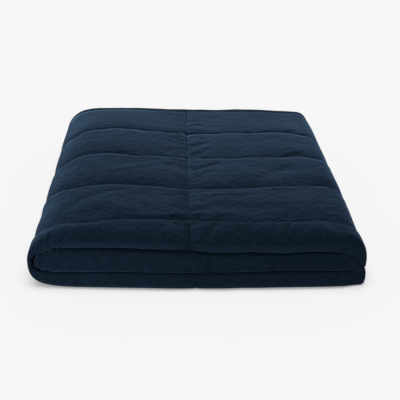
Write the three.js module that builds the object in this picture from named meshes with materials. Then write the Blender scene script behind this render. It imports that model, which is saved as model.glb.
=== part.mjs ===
// A quilted velvet bedspread, folded for a shelf.
// The cloth is folded in half across its width, which makes a two-layer strip with a rounded nose along
// its front edge, and the strip is folded in three like a letter: the top panel runs left, wraps down the
// left side, runs right as the bottom panel, turns up at the right and runs left again as the middle panel.
// Millimetres, +Z up, the front nose towards -Y, origin at the middle of the base.
import * as THREE from "three";

// Driving dimensions: the cloth as it was cut and sewn
const FLAT_LENGTH = 2100;
const FLAT_WIDTH = 1400;
const CHANNEL_COUNT = 9;
const CROSS_SEAMS = [381, 1085, 1746];

// Driving dimensions: the folded stack
const FOLDED_WIDTH = 667;
const FOLDED_DEPTH = 680;
const PANEL_GAP = 1.2;
const LAYER_GAP = 1.4;
const HEM_RADIUS = 12;
const SIDE_LEAN = -0.0205;

// Heights between the panels, uneven from side to side; across is a share of the half width.
const STACK_HEIGHTS = [
  { across: -1.0, lower: 40, upper: 91, top: 127 },
  { across: -0.55, lower: 39, upper: 89, top: 126.5 },
  { across: -0.04, lower: 36.5, upper: 82, top: 121.5 },
  { across: 0.13, lower: 37, upper: 77, top: 121 },
  { across: 0.3, lower: 38, upper: 80, top: 121 },
  { across: 0.5, lower: 39.5, upper: 77.5, top: 120.5 },
  { across: 0.68, lower: 39.5, upper: 81.5, top: 119 },
  { across: 1.0, lower: 38, upper: 80, top: 116.5 },
];

// The left side, where the strip wraps from the top panel to the bottom one, pulled thin
const WRAP = { reach: 100, middle: 60, thickness: 10.5, topPower: 2.1, bottomPower: 3.1 };
const WRAP_INSIDE = { topPower: 2.6, bottomPower: 4.5 };
// The lower lip of the top panel sags into the wrap, from a share of its reach on.
const SAG = { deep: 0.3, from: 0.5, over: 0.25 };

// The right side, where the bottom panel turns up into the middle one; out is a share of the reach
const TURN = { reach: 48, slit: 26 };
const TURN_OUTLINE = [
  { step: 0, out: 0, up: 0 },
  { step: 1, out: 0.44, up: 0 },
  { step: 2, out: 0.82, up: 0.5 },
  { step: 3, out: 0.985, up: 5.5 },
  { step: 4, out: 1.01, up: 18 },
  { step: 5, out: 0.995, up: 30 },
  { step: 6, out: 0.955, up: 40 },
  { step: 7, out: 0.85, up: 47.5 },
  { step: 8, out: 0.66, up: 58 },
  { step: 9, out: 0.36, up: 72 },
];

// The free end of the top panel, which droops over that turn
const DROOP = { hemHeight: 49, overhang: 0.5, hemInset: 4.6, lastStep: 7.4, power: 2.4 };

// The free end of the middle panel, which stops inside the wrap
const TUCK = { clearance: 1.8, lastShare: 0.972 };

// The front nose and the back hems, by place along the strip. nose and hem are how far they stand in from the
// front and back lines; over and under are how far back the nose's rounding runs on the strip's outer and
// inner face; tip is the height of its foremost place, a share of the half thickness; and power squares it.
const EDGES = [
  { leg: "droop", share: 0, nose: 16, hem: 12, over: 8, under: 3, tip: 0, power: 2.4 },
  { leg: "droop", share: 0.7, nose: 16, hem: 10, over: 14, under: 3, tip: 0.05, power: 2.2 },
  { leg: "top", share: 0.06, nose: 17, hem: 6, over: 44, under: 6, tip: 0.04, power: 1.8 },
  { leg: "top", share: 0.3, nose: 16, hem: 3, over: 60, under: 8, tip: 0.08, power: 1.5 },
  { leg: "top", share: 0.8, nose: 16, hem: 0, over: 58, under: 12, tip: 0.14, power: 1.55 },
  { leg: "wrap", share: 0.12, nose: 15, hem: 0, over: 40, under: 10, tip: 0.1, power: 1.8 },
  { leg: "wrap", share: 0.5, nose: 17.5, hem: 9, over: 7, under: 4, tip: 0, power: 2.4 },
  { leg: "wrap", share: 0.8, nose: 10, hem: 6, over: 14, under: 5, tip: 0, power: 2.4 },
  { leg: "bottom", share: 0.15, nose: 4, hem: 1, over: 20, under: 6, tip: 0, power: 2.5 },
  { leg: "bottom", share: 0.45, nose: 1, hem: 1, over: 20, under: 6, tip: 0, power: 2.5 },
  { leg: "bottom", share: 0.75, nose: 7, hem: 2, over: 20, under: 6, tip: 0, power: 2.5 },
  { leg: "bottom", share: 1, nose: 17, hem: 6, over: 18, under: 6, tip: 0, power: 2.5 },
  { leg: "turn", share: 0.3, nose: 20, hem: 12, over: 12, under: 5, tip: 0, power: 2.6 },
  { leg: "turn", share: 0.8, nose: 17, hem: 12, over: 4, under: 5, tip: 0, power: 2.8 },
  { leg: "middle", share: 0.1, nose: 14, hem: 6, over: 6, under: 7, tip: 0, power: 2.8 },
  { leg: "middle", share: 0.5, nose: 11, hem: 3, over: 7, under: 7, tip: 0, power: 2.8 },
  { leg: "middle", share: 0.9, nose: 11, hem: 5, over: 7, under: 7, tip: 0, power: 2.8 },
  { leg: "middle", share: 1, nose: 12, hem: 12, over: 8, under: 6, tip: 0, power: 2.6 },
];
const INNER_LAYER_SHORT = 6;

// The quilting: how far a stitched line is drawn in below the crown of its channels. A channel falls slowly
// towards the line in front of it and rises quickly from the line behind it.
const LINE = { depth: 8.5, rise: 15, fall: 74, fallOfLast: 92 };
const SEAM = { depth: 4.5, reach: 55, hemFade: 45 };
const MOST_DRAWN_IN = 0.5;
// The quilting flattens on the two rounded sides: how much, and over what length of the strip
const FLATTER = { right: 0.92, left: 0.45, leftFrom: 50, reach: 50 };
// How far the four lines on the top panel stray towards the front, by place from its left to its right
const STRAYS = [
  { at: -400, first: 22, second: 24, third: 14, fourth: 16 },
  { at: -290, first: 36, second: 30, third: 23, fourth: 19 },
  { at: -240, first: 20, second: 9, third: 16, fourth: 26 },
  { at: -180, first: 12, second: 3, third: 5, fourth: 11 },
  { at: -100, first: 17, second: 6, third: 3, fourth: 3 },
  { at: -30, first: 16, second: 11, third: 16, fourth: 2 },
  { at: 50, first: 18, second: 14, third: 18, fourth: 9 },
  { at: 120, first: 15, second: 13, third: 13, fourth: 11 },
  { at: 200, first: 6, second: 4, third: 10, fourth: 8 },
  { at: 260, first: 5, second: -6, third: -2, fourth: 2 },
  { at: 300, first: 22, second: 10, third: 0, fourth: 7 },
  { at: 340, first: 28, second: 13, third: 23, fourth: 19 },
];
const STRAY_LINES = ["first", "second", "third", "fourth"];
const STRAY_REACH = { onTop: 74, onNose: 60 };
const SLIT_INSIDE = 0.85;

// Soft swells of the top panel: middle and reach as shares of the half width and half depth
const TOP_SWELLS = [
  { across: -0.62, along: 0.55, reachAcross: 0.34, reachAlong: 0.75, rise: 8 },
  { across: 0.45, along: -0.1, reachAcross: 0.4, reachAlong: 0.5, rise: 4 },
  { across: 0.35, along: 0.9, reachAcross: 0.8, reachAlong: 0.4, rise: 3 },
  { across: -0.1, along: 1.06, reachAcross: 1.4, reachAlong: 0.25, rise: -1.2 },
  { across: -0.63, along: 1.06, reachAcross: 0.27, reachAlong: 0.25, rise: -7 },
];
// The left side is a little hollow between its front and its back.
const SIDE_HOLLOW = { depth: 3, along: 60, reach: 190 };

// Values worked out from the dimensions above
const HALF_WIDTH = FOLDED_WIDTH / 2;
const HALF_DEPTH = FOLDED_DEPTH / 2;
const WRAP_X = -HALF_WIDTH + WRAP.reach;
const TURN_X = HALF_WIDTH - TURN.reach;
const CHANNEL = FLAT_WIDTH / CHANNEL_COUNT;
const NOSE_AT = FLAT_WIDTH / 2;
const TAKE_UP = FOLDED_DEPTH / (FLAT_WIDTH / 2 + 8);

// Small helpers
const mix = (a, b, t) => a + (b - a) * t;
const clamp = (x, low, high) => Math.min(high, Math.max(low, x));
const smooth = (t) => t * t * (3 - 2 * t);
const rounded = (t) => Math.sqrt(1 - (1 - clamp(t, 0, 1)) ** 2);

// A value from a table of rows, eased between neighbours.
function fromTable(rows, key, place, column) {
  const last = rows.length - 1;
  if (place <= rows[0][key]) return rows[0][column];
  if (place >= rows[last][key]) return rows[last][column];
  const i = rows.findIndex((row) => row[key] > place);
  const t = (place - rows[i - 1][key]) / (rows[i][key] - rows[i - 1][key]);
  return mix(rows[i - 1][column], rows[i][column], smooth(t));
}

// The length of a quarter of an ellipse.
function quarterLength(a, b) {
  return (Math.PI / 4) * (3 * (a + b) - Math.sqrt((3 * a + b) * (a + 3 * b)));
}

const level = (x, column) => fromTable(STACK_HEIGHTS, "across", x / HALF_WIDTH, column);

// A point on a superellipse: turn 0 is straight up, a quarter turn is straight out along side.
function superellipse(x, z, reach, rise, power, turn, side) {
  const out = Math.abs(Math.sin(turn)) ** (2 / power);
  const up = Math.abs(Math.cos(turn)) ** (2 / power) * Math.sign(Math.cos(turn));
  return new THREE.Vector2(x + side * reach * out, z + rise * up);
}

// The legs of the strip. Each gives, at a share of its own length, the outer and inner points of the strip
// in the XZ plane: outer is the face that ends up outside, inner the face that is folded in.

function turnOuter(step) {
  const top = { step: TURN_OUTLINE.length, out: 0, up: level(TURN_X, "upper") - PANEL_GAP / 2 };
  const rows = [...TURN_OUTLINE, top];
  const out = fromTable(rows, "step", step, "out");
  return new THREE.Vector2(TURN_X + out * TURN.reach, fromTable(rows, "step", step, "up"));
}

function droopLeg(share) {
  const angle = (1 - share) * Math.PI * 0.5;
  const { hemHeight, overhang, hemInset, lastStep, power } = DROOP;
  const top = level(TURN_X, "top") - hemHeight;
  const outer = superellipse(TURN_X, hemHeight, TURN.reach + overhang, top, power, angle, 1);
  outer.x -= hemInset * (1 - share) ** 1.6;
  // The inner face follows the turn below it, a panel gap away.
  const inner = turnOuter(mix(lastStep, TURN_OUTLINE.length, share));
  const away = new THREE.Vector2(1.2 - share, share + 0.5).normalize().multiplyScalar(PANEL_GAP);
  inner.add(away);
  return { outer, inner };
}

function topLeg(share) {
  const x = mix(TURN_X, WRAP_X, share);
  return {
    outer: new THREE.Vector2(x, level(x, "top")),
    inner: new THREE.Vector2(x, level(x, "upper") + PANEL_GAP / 2),
  };
}

// The share of its height that the top panel's lower lip keeps, by how far it is into the wrap.
const sagged = (into) => 1 - SAG.deep * smooth(clamp((into - SAG.from) / SAG.over, 0, 1));

function wrapLeg(share) {
  const angle = share * Math.PI;
  const above = angle <= Math.PI / 2;
  const { middle, reach, thickness } = WRAP;
  const outerRise = above ? level(WRAP_X, "top") - middle : middle;
  const innerRise = above
    ? level(WRAP_X, "upper") + PANEL_GAP / 2 - middle
    : middle - level(WRAP_X, "lower") + PANEL_GAP / 2;
  const power = above ? WRAP.topPower : WRAP.bottomPower;
  const insidePower = above ? WRAP_INSIDE.topPower : WRAP_INSIDE.bottomPower;
  const inner = superellipse(WRAP_X, middle, reach - thickness, innerRise, insidePower, angle, -1);
  if (above) inner.y = mix(middle, inner.y, sagged((WRAP_X - inner.x) / (reach - thickness)));
  return { outer: superellipse(WRAP_X, middle, reach, outerRise, power, angle, -1), inner };
}

function bottomLeg(share) {
  const x = mix(WRAP_X, TURN_X, share);
  return {
    outer: new THREE.Vector2(x, 0),
    inner: new THREE.Vector2(x, level(x, "lower") - PANEL_GAP / 2),
  };
}

function turnLeg(share) {
  const slit = level(TURN_X, "lower");
  return {
    outer: turnOuter(share * TURN_OUTLINE.length),
    inner: superellipse(TURN_X, slit, TURN.slit, PANEL_GAP / 2, 2, (1 - share) * Math.PI, 1),
  };
}

function middleLeg(share) {
  const reach = WRAP.reach - WRAP.thickness - TUCK.clearance;
  const x = mix(TURN_X, WRAP_X - reach * TUCK.lastShare, share);
  const past = clamp((WRAP_X - x) / reach, 0, 1);
  const narrow = (power) => (1 - past ** power) ** (1 / power);
  const upper = level(x, "upper") - PANEL_GAP / 2;
  const lower = level(x, "lower") + PANEL_GAP / 2;
  if (x >= WRAP_X) return { outer: new THREE.Vector2(x, upper), inner: new THREE.Vector2(x, lower) };
  return {
    outer: new THREE.Vector2(x, mix(WRAP.middle, upper - 1, narrow(WRAP_INSIDE.topPower) * sagged(past))),
    inner: new THREE.Vector2(x, mix(WRAP.middle, lower + 1, narrow(WRAP_INSIDE.bottomPower))),
  };
}

const LEGS = [
  { name: "droop", at: droopLeg, steps: 6 },
  { name: "top", at: topLeg, steps: 14 },
  { name: "wrap", at: wrapLeg, steps: 12 },
  { name: "bottom", at: bottomLeg, steps: 8 },
  { name: "turn", at: turnLeg, steps: 10 },
  { name: "middle", at: middleLeg, steps: 12 },
];

// Where each leg starts along the strip, measured down the middle of its two layers
const MEASURE_STEPS = 60;
let stripLength = 0;
for (const leg of LEGS) {
  leg.start = stripLength;
  leg.along = [0];
  let before = null;
  for (let i = 0; i <= MEASURE_STEPS; i++) {
    const { outer, inner } = leg.at(i / MEASURE_STEPS);
    const middle = outer.clone().add(inner).multiplyScalar(0.5);
    if (before) leg.along.push(leg.along[i - 1] + middle.distanceTo(before));
    before = middle;
  }
  leg.length = leg.along[MEASURE_STEPS];
  stripLength += leg.length;
}
const FLAT_PER_FOLDED = FLAT_LENGTH / stripLength;
const TOP_START = LEGS.find((leg) => leg.name === "top").start;
const WRAP_START = LEGS.find((leg) => leg.name === "wrap").start;

// The strip's outer and inner points at a distance along it.
function strip(along) {
  const leg = LEGS.findLast((one) => along >= one.start) ?? LEGS[0];
  const inLeg = clamp(along - leg.start, 0, leg.length);
  const i = Math.max(1, leg.along.findIndex((length) => length >= inLeg));
  const t = (inLeg - leg.along[i - 1]) / (leg.along[i] - leg.along[i - 1]);
  return { leg: leg.name, ...leg.at((i - 1 + t) / MEASURE_STEPS) };
}

const alongOf = (row) => {
  const leg = LEGS.find((one) => one.name === row.leg);
  return leg.start + row.share * leg.length;
};
const NOSES = EDGES.map((row) => ({ along: alongOf(row), ...row }));

// How full the quilting is at a place on the flat cloth: 1 on a crown, 0 on a stitched line.
function channelPuff(across) {
  const line = Math.round(across / CHANNEL);
  if (line < 1 || line >= CHANNEL_COUNT) return 1;
  const past = across - line * CHANNEL;
  const fall = line === STRAY_LINES.length ? LINE.fallOfLast : LINE.fall;
  return rounded(past > 0 ? past / LINE.rise : -past / fall);
}

function seamPuff(flatAlong) {
  const nearest = Math.min(...CROSS_SEAMS.map((seam) => Math.abs(flatAlong - seam)));
  return rounded(nearest / SEAM.reach);
}

// How far the cloth beside a line of the top panel is drawn towards the front.
function strayed(along, across) {
  const line = Math.round(across / CHANNEL);
  if (line < 1 || line > STRAY_LINES.length) return 0;
  const stray = fromTable(STRAYS, "at", TURN_X - (along - TOP_START), STRAY_LINES[line - 1]);
  const reach = across > STRAY_LINES.length * CHANNEL ? STRAY_REACH.onNose : STRAY_REACH.onTop;
  return stray * smooth(clamp(1 - Math.abs(across - line * CHANNEL) / reach, 0, 1));
}

// How far the outer face is drawn in, in millimetres, at a place on the strip.
function drawnIn(leg, along, across) {
  const fromHem = Math.min(across, FLAT_WIDTH - across);
  const line = (1 - channelPuff(across)) * LINE.depth;
  const seamShare = smooth(clamp(fromHem / SEAM.hemFade, 0, 1));
  const seam = (1 - seamPuff(along * FLAT_PER_FOLDED)) * SEAM.depth * seamShare;
  const atRight = smooth(clamp((TOP_START - along) / FLATTER.reach, 0, 1));
  const atLeft = smooth(clamp((along - WRAP_START - FLATTER.leftFrom) / FLATTER.reach, 0, 1));
  const both = Math.hypot(line, seam) * (1 - FLATTER.right * atRight) * (1 - FLATTER.left * atLeft);
  // Faces that lie against a panel or the floor are pressed flat; only their noses keep the seams.
  const showing = across > NOSE_AT ? 0 : { droop: 1, top: 1, wrap: 1, bottom: 0, turn: 0.8, middle: 0 }[leg];
  const towardsNose = smooth(clamp(1 - Math.abs(NOSE_AT - across) / 28, 0, 1));
  return Math.max(both * showing, seam * towardsNose);
}

// The soft swells of the top panel at a point of the folded stack.
function swell(x, y) {
  const rises = TOP_SWELLS.map((one) => {
    const dx = (x / HALF_WIDTH - one.across) / one.reachAcross;
    const dy = (y / HALF_DEPTH - one.along) / one.reachAlong;
    return one.rise * Math.exp(-dx * dx - dy * dy);
  });
  return rises.reduce((sum, rise) => sum + rise, 0);
}

// The section of the strip at a distance along it: its two points in the XZ plane and the shape of its nose.
function section(along) {
  const { leg, outer, inner } = strip(along);
  const nose = (column) => fromTable(NOSES, "along", along, column);
  const half = outer.distanceTo(inner) / 2;
  return {
    leg,
    along,
    outer,
    inner,
    half,
    front: -HALF_DEPTH + nose("nose"),
    back: HALF_DEPTH - nose("hem"),
    over: nose("over"),
    under: nose("under"),
    tip: nose("tip"),
    power: nose("power"),
    gap: LAYER_GAP / 2 / half,
  };
}

// The outer face of a section at a place across the flat cloth: y, a height as a share of the half thickness,
// and how far it faces forwards and upwards there.
function outerFace(ring, across) {
  const upper = across <= NOSE_AT;
  const fromTip = Math.abs(NOSE_AT - across) * TAKE_UP;
  const reach = upper ? ring.over : ring.under;
  const rise = upper ? 1 - ring.tip : -1 - ring.tip;
  const round = quarterLength(reach, Math.abs(rise) * ring.half);
  if (fromTip >= round) {
    const share = (fromTip - round) / (NOSE_AT * TAKE_UP - round);
    const back = ring.back - (upper ? 0 : INNER_LAYER_SHORT);
    const side = upper ? 1 : -1;
    return { y: mix(ring.front + reach, back, share), height: side, forwards: 0, upwards: side };
  }
  const angle = (fromTip / round) * (Math.PI / 2);
  const cosine = Math.cos(angle);
  const sine = Math.sin(angle);
  const facing = new THREE.Vector2(
    cosine ** (2 - 2 / ring.power) / reach,
    sine ** (2 - 2 / ring.power) / (rise * ring.half),
  ).normalize();
  return {
    y: ring.front + reach * (1 - cosine ** (2 / ring.power)),
    height: ring.tip + rise * sine ** (2 / ring.power),
    forwards: facing.x,
    upwards: facing.y,
  };
}

// The inner face there: along the slit between the two layers, which ends inside the nose.
function innerFace(ring, across, outer) {
  const slitEnd = ring.front + ring.half * SLIT_INSIDE;
  const atTip = Math.abs(across - NOSE_AT) < 1e-6;
  if (atTip) return { y: slitEnd - LAYER_GAP / 2, height: 0 };
  return { y: Math.max(outer.y, slitEnd), height: across < NOSE_AT ? ring.gap : -ring.gap };
}

// A point of the cloth's outer (side 1) or inner (side -1) face, at a place across the flat cloth. ends is 1
// inside the cloth and shrinks the thickness towards its two end hems.
function clothPoint(ring, across, side, ends) {
  const { leg, outer, inner, half } = ring;
  const hemDistance = Math.min(across, FLAT_WIDTH - across) * TAKE_UP;
  const fullness = rounded(hemDistance / HEM_RADIUS) * ends;
  const outside = outerFace(ring, across);
  const inside = innerFace(ring, across, outside);
  const face = side > 0 ? outside : inside;
  let y = mix((outside.y + inside.y) / 2, face.y, fullness);
  let height = mix((outside.height + inside.height) / 2, face.height, fullness);
  if (side > 0) {
    const drawn = Math.min(drawnIn(leg, ring.along, across), half * MOST_DRAWN_IN) * fullness;
    // Close to its tip the nose is drawn straight back.
    const atTip = smooth(clamp(1 - Math.abs(NOSE_AT - across) / 25, 0, 1));
    y += drawn * mix(outside.forwards, 1, atTip);
    height -= (drawn * mix(outside.upwards, 0, atTip)) / half;
    const showsLines = across <= NOSE_AT && ["droop", "top", "wrap"].includes(leg);
    if (showsLines) y -= strayed(ring.along, across);
  }

  let x = mix(inner.x, outer.x, (height + 1) / 2);
  let z = mix(inner.y, outer.y, (height + 1) / 2);
  const isTop = leg === "top" || leg === "droop" || (leg === "wrap" && outer.y > WRAP.middle);
  if (isTop && height > 0) {
    const atSide = clamp((outer.y - WRAP.middle) / (level(x, "top") - WRAP.middle), 0, 1);
    const riseShare = leg === "top" ? 1 : atSide;
    z += swell(x, y) * smooth(riseShare) * smooth(clamp(height, 0, 1));
  }
  const hollow = SIDE_HOLLOW.depth * Math.exp(-(((y - SIDE_HOLLOW.along) / SIDE_HOLLOW.reach) ** 2));
  x += hollow * smooth(clamp((WRAP_X - x) / WRAP.reach, 0, 1));
  return new THREE.Vector3(x + SIDE_LEAN * y, y, Math.abs(z) < 1e-6 ? 0 : z);
}

// Places across the flat cloth for the outer face: close together at the hems, the lines and the nose.
function outerPlaces() {
  const places = [0, 2, 5, HEM_RADIUS];
  for (let channel = 0; channel < (CHANNEL_COUNT - 1) / 2; channel++) {
    for (const share of [0.05, 0.1, 0.5, 0.71, 0.86, 0.95, 1]) {
      const place = (channel + share) * CHANNEL;
      if (place > HEM_RADIUS + 6) places.push(place);
    }
  }
  const noseSteps = [60, 46, 32, 20, 11, 4];
  for (const step of noseSteps) places.push(NOSE_AT - step);
  places.push(NOSE_AT);
  for (const step of noseSteps.toReversed()) places.push(NOSE_AT + step);
  for (const share of [0.2, 0.5, 0.8]) places.push(mix(NOSE_AT + noseSteps[0], FLAT_WIDTH, share));
  for (const step of [HEM_RADIUS, 5, 2, 0]) places.push(FLAT_WIDTH - step);
  return places;
}

// The inner face is hidden but for its hems, so it needs few places.
function innerPlaces() {
  const upper = [4, HEM_RADIUS, FLAT_WIDTH * 0.16, FLAT_WIDTH * 0.32, NOSE_AT - 70, NOSE_AT - 20];
  const lower = upper.map((place) => FLAT_WIDTH - place).reverse();
  return [...upper, NOSE_AT, ...lower].reverse();
}

// Distances along the strip: each leg's own steps, with closer ones at the end hems and the cross seams.
function stations() {
  const distances = new Set();
  for (const leg of LEGS) {
    for (let i = 0; i < leg.steps; i++) distances.add(leg.start + (leg.length * i) / leg.steps);
  }
  for (const step of [0, 2, 5, HEM_RADIUS]) {
    distances.add(step);
    distances.add(stripLength - step);
  }
  for (const seam of CROSS_SEAMS) {
    for (const step of [-16, 0, 16]) distances.add(seam / FLAT_PER_FOLDED + step);
  }
  const sorted = [...distances].sort((a, b) => a - b);
  const apart = 1.5;
  return sorted.filter((distance, i) => i === 0 || distance - sorted[i - 1] > apart);
}

// The folded cloth as one closed body: a ring of points round the hairpin section at each station.
function bedspreadGeometry() {
  const outerList = outerPlaces();
  const innerList = innerPlaces();
  const along = stations();
  const ringSize = outerList.length + innerList.length;
  const hemFloor = 0.4;
  const points = [];
  for (const distance of along) {
    const fromEnd = Math.min(distance, stripLength - distance);
    const ends = Math.max(hemFloor, rounded(fromEnd / HEM_RADIUS));
    const ring = section(distance);
    for (const place of outerList) points.push(clothPoint(ring, place, 1, ends));
    for (const place of innerList) points.push(clothPoint(ring, place, -1, ends));
  }

  const triangles = [];
  for (let i = 0; i + 1 < along.length; i++) {
    for (let j = 0; j < ringSize; j++) {
      const a = i * ringSize + j;
      const b = i * ringSize + ((j + 1) % ringSize);
      triangles.push(a, a + ringSize, b, b, a + ringSize, b + ringSize);
    }
  }
  triangles.push(...endCap(outerList, innerList, 0, false));
  triangles.push(...endCap(outerList, innerList, (along.length - 1) * ringSize, true));

  const geometry = new THREE.BufferGeometry().setFromPoints(points);
  geometry.setIndex(triangles);
  return geometry;
}

// Closes an end of the strip, walking the outer and inner edges of the section together from hem to hem.
function endCap(outerList, innerList, first, reversed) {
  const outerEdge = outerList.map((place, i) => ({ place, index: first + i }));
  const innerEdge = innerList.map((place, i) => ({ place, index: first + outerList.length + i })).reverse();
  innerEdge.unshift(outerEdge[0]);
  innerEdge.push(outerEdge[outerEdge.length - 1]);
  const triangles = [];
  const add = (a, b, c) => {
    if (a !== b && b !== c && a !== c) triangles.push(...(reversed ? [a, c, b] : [a, b, c]));
  };
  let i = 0;
  let j = 0;
  while (i < outerEdge.length - 1 || j < innerEdge.length - 1) {
    const outerNext = outerEdge[i + 1]?.place ?? Infinity;
    const innerNext = innerEdge[j + 1]?.place ?? Infinity;
    if (outerNext <= innerNext) {
      add(outerEdge[i].index, outerEdge[i + 1].index, innerEdge[j].index);
      i++;
    } else {
      add(outerEdge[i].index, innerEdge[j + 1].index, innerEdge[j].index);
      j++;
    }
  }
  return triangles;
}

// Centres the stack over the origin, with its underside at height 0.
function standAtOrigin(geometry) {
  geometry.computeBoundingBox();
  const middle = geometry.boundingBox.getCenter(new THREE.Vector3());
  geometry.translate(-middle.x, -middle.y, -geometry.boundingBox.min.z);
  geometry.computeVertexNormals();
  return geometry;
}

const velvet = new THREE.MeshStandardMaterial({ color: 0x1c2b40, roughness: 0.95, metalness: 0 });
const bedspread = new THREE.Mesh(standAtOrigin(bedspreadGeometry()), velvet);
bedspread.name = "bedspread";

const model = new THREE.Group();
model.name = "folded_bedspread";
model.add(bedspread);

export default model;
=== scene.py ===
# A navy velvet bedspread, quilted in channels and folded for a shelf.
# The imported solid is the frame. The finished cloth, its thread and a plain studio are made here, in metres.
import bisect
import math

import bmesh
import bpy
from mathutils import Matrix, Vector, noise


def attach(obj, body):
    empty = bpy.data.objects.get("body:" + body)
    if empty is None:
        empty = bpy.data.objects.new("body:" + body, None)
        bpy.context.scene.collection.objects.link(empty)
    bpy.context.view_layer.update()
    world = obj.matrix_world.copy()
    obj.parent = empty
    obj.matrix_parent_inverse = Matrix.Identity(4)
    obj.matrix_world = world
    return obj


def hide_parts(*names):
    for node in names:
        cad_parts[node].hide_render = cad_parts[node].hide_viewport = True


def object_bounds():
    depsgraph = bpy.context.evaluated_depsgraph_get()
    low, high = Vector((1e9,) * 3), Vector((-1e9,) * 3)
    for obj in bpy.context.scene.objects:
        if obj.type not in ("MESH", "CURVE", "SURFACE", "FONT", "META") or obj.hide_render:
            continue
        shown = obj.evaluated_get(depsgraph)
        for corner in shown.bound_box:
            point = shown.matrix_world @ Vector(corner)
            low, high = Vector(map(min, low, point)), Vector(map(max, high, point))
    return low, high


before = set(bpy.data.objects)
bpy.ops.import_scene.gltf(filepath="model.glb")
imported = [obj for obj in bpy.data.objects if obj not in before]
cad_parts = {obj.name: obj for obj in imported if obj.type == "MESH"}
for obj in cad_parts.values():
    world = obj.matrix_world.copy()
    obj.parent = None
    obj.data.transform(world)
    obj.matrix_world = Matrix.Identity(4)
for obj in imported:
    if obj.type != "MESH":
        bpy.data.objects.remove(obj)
solid_low, solid_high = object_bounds()

# The quilted cloth: one velvet cover of 1.40 by 2.10 m with a light filling, stitched in nine channels and
# crossed by three seams. It is folded in half, with a rounded nose along the front, and the two-layer strip
# is folded in three: along the top, down the left side, back underneath, and up at the right to the middle.
cloth_length, cloth_width = 2.10, 1.40
channel = cloth_width / 9
cross_seams = (0.381, 1.085, 1.746)
nose_at = cloth_width / 2
half_width, half_depth = 0.3335, 0.340
panel_gap, layer_gap = 0.0012, 0.0014
hem_radius, hem_row = 0.012, 0.025
side_lean = -0.0205

# Heights across the stack, from left to right: the two gaps between the panels, and the top.
lower_gap = (
    (-0.3335, 0.0400), (-0.2700, 0.0375), (-0.1880, 0.0395), (-0.0145, 0.0365),
    (0.1200, 0.0385), (0.2000, 0.0400), (0.3335, 0.0380),
)
upper_gap = (
    (-0.3335, 0.0910), (-0.2600, 0.0905), (-0.2135, 0.0900), (-0.1500, 0.0880), (-0.0725, 0.0845),
    (-0.0145, 0.0820), (0.0434, 0.0770), (0.1014, 0.0800), (0.1632, 0.0775), (0.2270, 0.0815),
    (0.2753, 0.0800), (0.3335, 0.0800),
)
top_height = (
    (-0.3335, 0.1270), (-0.1834, 0.1265), (-0.0133, 0.1215), (0.1668, 0.1205), (0.3335, 0.1165),
)

# The left wrap, the right turn, the drooping end of the top panel and the tucked end of the middle one;
# the square ones say how square a rounding is, where 2 is an ellipse
wrap_reach, wrap_middle, wrap_thickness = 0.100, 0.060, 0.0105
wrap_upper_square, wrap_lower_square = 2.1, 3.1
tuck_upper_square, tuck_lower_square = 2.6, 4.5
wrap_x = -half_width + wrap_reach
turn_reach, turn_slit = 0.048, 0.026
turn_x = half_width - turn_reach
turn_out = (
    (0, 0), (1, 0.44), (2, 0.82), (3, 0.985), (4, 1.010), (5, 0.995),
    (6, 0.955), (7, 0.85), (8, 0.66), (9, 0.36), (10, 0),
)
turn_up = (
    (0, 0), (1, 0), (2, 0.0005), (3, 0.0055), (4, 0.018), (5, 0.030),
    (6, 0.040), (7, 0.0475), (8, 0.058), (9, 0.072), (10, 0.0794),
)
droop_hem, droop_square, droop_tucked_in = 0.049, 2.4, 0.0046
turn_steps, droop_rests_from = 10, 7.4
tuck_reach = wrap_reach - wrap_thickness - 0.0018
tuck_end, tuck_clear, lip_sag = 0.972, 0.001, 0.30


def flow(rows, place):
    """A value from rows of (place, value), carried smoothly through every row."""
    places = [row[0] for row in rows]
    if place <= places[0]:
        return rows[0][1]
    if place >= places[-1]:
        return rows[-1][1]
    i = bisect.bisect_right(places, place)
    (x0, y0), (x1, y1) = rows[i - 1], rows[i]
    before = rows[max(i - 2, 0)]
    after = rows[min(i + 1, len(rows) - 1)]
    slope0 = (y1 - before[1]) / (x1 - before[0])
    slope1 = (after[1] - y0) / (after[0] - x0)
    t, span = (place - x0) / (x1 - x0), x1 - x0
    return (
        y0 * (2 * t**3 - 3 * t**2 + 1) + y1 * (3 * t**2 - 2 * t**3)
        + span * (slope0 * (t**3 - 2 * t**2 + t) + slope1 * (t**3 - t**2))
    )


def clamp(value, low=0.0, high=1.0):
    return min(high, max(low, value))


def smooth(t):
    """From 0 to 1, with an easy start and end."""
    t = clamp(t)
    return t * t * (3 - 2 * t)


def rounded(t):
    """From 0 to 1 along a quarter of a circle."""
    return math.sqrt(1 - (1 - clamp(t)) ** 2)


def bump(distance, reach):
    """1 at no distance, and next to nothing from about twice the reach."""
    return math.exp(-((distance / reach) ** 2))


def arch(x, z, reach, rise, power, angle, side):
    """A point of a squared ellipse: angle 0 is straight up, a quarter turn is straight out to the side."""
    out = abs(math.sin(angle)) ** (2 / power)
    up = math.copysign(abs(math.cos(angle)) ** (2 / power), math.cos(angle))
    return Vector((x + side * reach * out, z + rise * up))


# Each leg of the strip gives its outside and inside points, seen from the front, at a share of its length.
def turn_outside(step):
    return Vector((turn_x + turn_reach * flow(turn_out, step), max(0.0, flow(turn_up, step))))


def droop_leg(t):
    above = flow(top_height, turn_x) - droop_hem
    angle = (1 - t) * math.pi / 2
    outside = arch(turn_x, droop_hem, turn_reach + 0.0005, above, droop_square, angle, 1)
    outside.x -= droop_tucked_in * (1 - t) ** 1.6
    inside = turn_outside(droop_rests_from + (turn_steps - droop_rests_from) * t)
    return outside, inside + Vector((1.2 - t, t + 0.5)).normalized() * panel_gap * 0.4


def top_leg(t):
    x = turn_x + (wrap_x - turn_x) * t
    return Vector((x, flow(top_height, x))), Vector((x, flow(upper_gap, x) + panel_gap / 2))


def sag(share):
    """How much of its height the lower lip of the top panel keeps where it sags into the wrap."""
    return 1 - lip_sag * smooth((share - 0.50) / 0.25)


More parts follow.
